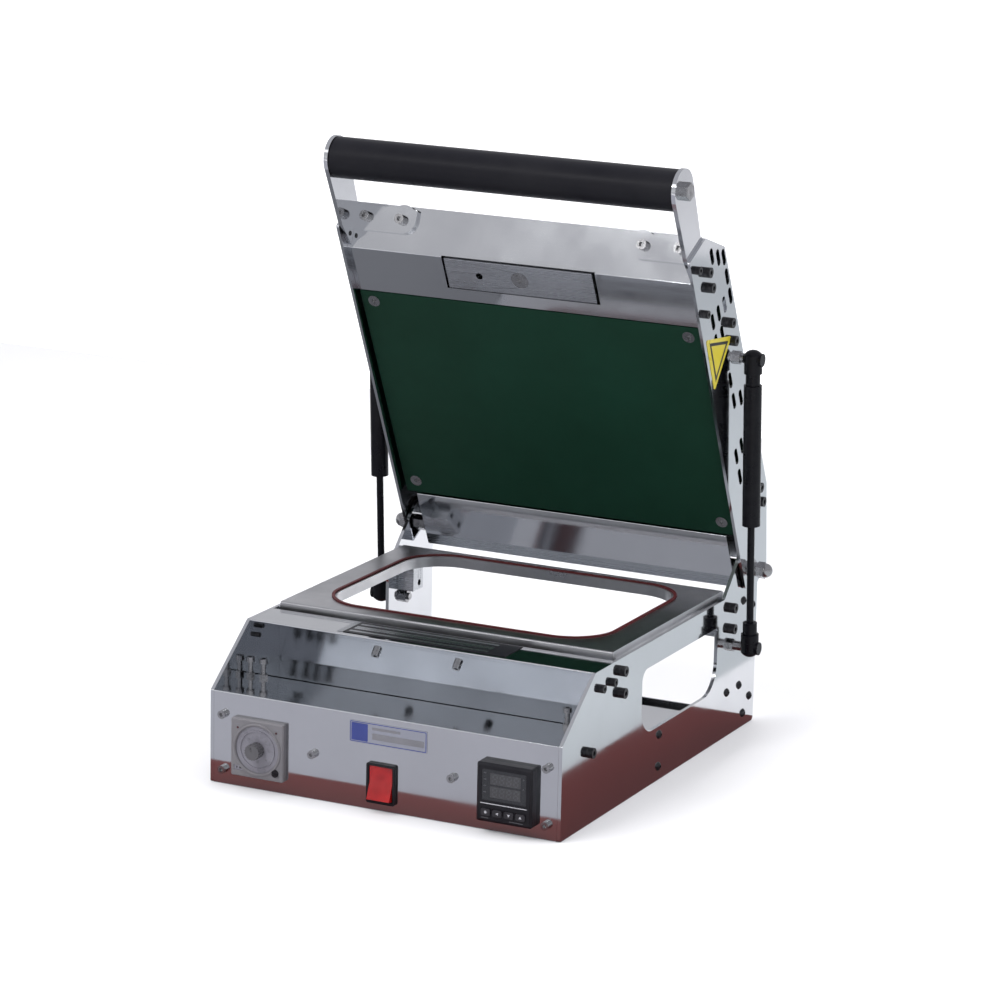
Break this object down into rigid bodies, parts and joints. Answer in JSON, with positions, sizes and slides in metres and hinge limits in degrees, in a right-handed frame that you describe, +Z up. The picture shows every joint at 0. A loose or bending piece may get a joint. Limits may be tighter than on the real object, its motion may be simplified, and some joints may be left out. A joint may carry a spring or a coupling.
{
  "type": "tray heat sealer",
  "caption": "Manual tray and cup heat sealer: open stainless base with a framed tray plate, hinged heater lid, pull handle, gas springs, timer and temperature controller.",
  "frame": {"origin": "on the floor plane, in the middle of the machine's width and of its depth with the lid open", "axes": "+Z up, +X to the operator's right, -Y towards the operator and the control panel"},
  "size_m": [0.3652, 0.4035, 0.499],
  "materials": {
    "polished_steel": "mirror-polished stainless steel sheet with faint brushing and handling marks",
    "brushed_steel": "ground steel",
    "fastener_steel": "bright zinc and stainless fasteners",
    "black_screws": "black oxide",
    "milled_aluminium": "satin milled with bright edges",
    "seal_silicone": "dark red silicone rubber",
    "coated_heater": "dark green non-stick coating",
    "black_plastic": "fine-textured",
    "dark_plastic": "fine-textured",
    "grey_plastic": "fine-textured",
    "dial_face": "printed dial",
    "knob_plastic": "satin",
    "display_window": "smoked window",
    "key_rubber": "matte",
    "red_rocker": "translucent red",
    "name_plate": "printed foil",
    "cream_plastic": "moulded",
    "cast_case": "folded sheet case",
    "mica": "mica sheet",
    "ceramic_wool": "ceramic fibre",
    "grip_plastic": "satin black",
    "spring_black": "semi-gloss black",
    "yellow_label": "printed film"
  },
  "bodies": {
    "base": {"side_plate_left": "polished_steel", "side_plate_right": "polished_steel", "front_panel": "polished_steel", "deck": "polished_steel", "box_back": "polished_steel", "floor_pan": "polished_steel", "corner_brackets": "polished_steel", "support_blocks": "brushed_steel", "rear_tie": "brushed_steel", "tray_plate": "milled_aluminium", "seal": "seal_silicone", "magnet_housing": "black_plastic", "magnet_core": "brushed_steel", "timer_case": "dark_plastic", "timer_bezel": "grey_plastic", "timer_dial": "dial_face", "controller_case": "dark_plastic", "controller_bezel": "black_plastic", "controller_display": "display_window", "switch_frame": "black_plastic", "name_plate": "name_plate", "mains_gland": "black_plastic", "relay": "cream_plastic", "power_supply": "cast_case", "terminal_block": "cream_plastic", "hinge_pins": "fastener_steel", "hinge_nuts": "fastener_steel", "base_screws": "black_screws", "panel_screws": "fastener_steel", "lower_studs": "fastener_steel"},
    "lid": {"lid_side_left": "polished_steel", "lid_side_right": "polished_steel", "lid_front": "polished_steel", "lid_cover": "polished_steel", "lid_rear_panel": "polished_steel", "heater_plate": "coated_heater", "heating_elements": "mica", "insulation": "ceramic_wool", "heater_hangers": "brushed_steel", "heater_screws": "fastener_steel", "armature_plate": "brushed_steel", "armature_screw": "fastener_steel", "handle_grip": "grip_plastic", "handle_rod": "fastener_steel", "handle_brackets": "polished_steel", "handle_screws": "fastener_steel", "lid_screws": "black_screws", "upper_studs": "fastener_steel", "warning_triangle": "yellow_label"},
    "spring_rod_left": {"spring_rod_left": "spring_black"},
    "spring_rod_right": {"spring_rod_right": "spring_black"},
    "spring_tube_left": {"spring_tube_left": "spring_black"},
    "spring_tube_right": {"spring_tube_right": "spring_black"},
    "timer_knob": {"timer_knob": "knob_plastic"},
    "timer_selector": {"timer_selector": "black_plastic"},
    "key_set": {"key_set": "key_rubber"},
    "key_shift": {"key_shift": "key_rubber"},
    "key_down": {"key_down": "key_rubber"},
    "key_up": {"key_up": "key_rubber"},
    "switch_rocker": {"switch_rocker": "red_rocker"}
  },
  "joints": [
    {"name": "lid_hinge", "type": "hinge", "parent": "base", "child": "lid", "pos_m": [0, 0.17017, 0.1385], "axis": [1, 0, 0], "range_deg": [0, 64.5], "stiffness_Nm_per_rad": 41, "springref_deg": -13.29},
    {"name": "spring_swing_right", "type": "hinge", "parent": "base", "child": "spring_rod_right", "pos_m": [0.174, 0.13667, 0.08], "axis": [1, 0, 0], "range_deg": [0, 55.24]},
    {"name": "spring_slide_right", "type": "slide", "parent": "spring_rod_right", "child": "spring_tube_right", "axis": [0, 0.059, -0.9983], "range_m": [0, 0.06302]},
    {"name": "spring_swing_left", "type": "hinge", "parent": "base", "child": "spring_rod_left", "pos_m": [-0.174, 0.13667, 0.08], "axis": [1, 0, 0], "range_deg": [0, 55.24]},
    {"name": "spring_slide_left", "type": "slide", "parent": "spring_rod_left", "child": "spring_tube_left", "axis": [0, 0.059, -0.9983], "range_m": [0, 0.06302]},
    {"name": "timer_knob", "type": "hinge", "parent": "base", "child": "timer_knob", "pos_m": [-0.1105, -0.19283, 0.0345], "axis": [0, 1, 0], "range_deg": [-135, 135]},
    {"name": "timer_selector", "type": "hinge", "parent": "base", "child": "timer_selector", "pos_m": [-0.0935, -0.19283, 0.0175], "axis": [0, 1, 0], "range_deg": [0, 90]},
    {"name": "key_set", "type": "slide", "parent": "base", "child": "key_set", "axis": [0, 1, 0], "range_m": [0, 0.0006], "stiffness_N_per_m": 800, "springref_m": -0.0006},
    {"name": "key_shift", "type": "slide", "parent": "base", "child": "key_shift", "axis": [0, 1, 0], "range_m": [0, 0.0006], "stiffness_N_per_m": 800, "springref_m": -0.0006},
    {"name": "key_down", "type": "slide", "parent": "base", "child": "key_down", "axis": [0, 1, 0], "range_m": [0, 0.0006], "stiffness_N_per_m": 800, "springref_m": -0.0006},
    {"name": "key_up", "type": "slide", "parent": "base", "child": "key_up", "axis": [0, 1, 0], "range_m": [0, 0.0006], "stiffness_N_per_m": 800, "springref_m": -0.0006},
    {"name": "switch_rocker", "type": "hinge", "parent": "base", "child": "switch_rocker", "pos_m": [0, -0.18833, 0.023], "axis": [1, 0, 0], "range_deg": [0, 22]}
  ],
  "couplings": [
    {"joint": "spring_swing_right", "follows": "lid_hinge", "ratio": 0.85626},
    {"joint": "spring_slide_right", "follows": "lid_hinge", "m_per_rad": 0.055969},
    {"joint": "spring_swing_left", "follows": "lid_hinge", "ratio": 0.85626},
    {"joint": "spring_slide_left", "follows": "lid_hinge", "m_per_rad": 0.055969}
  ]
}
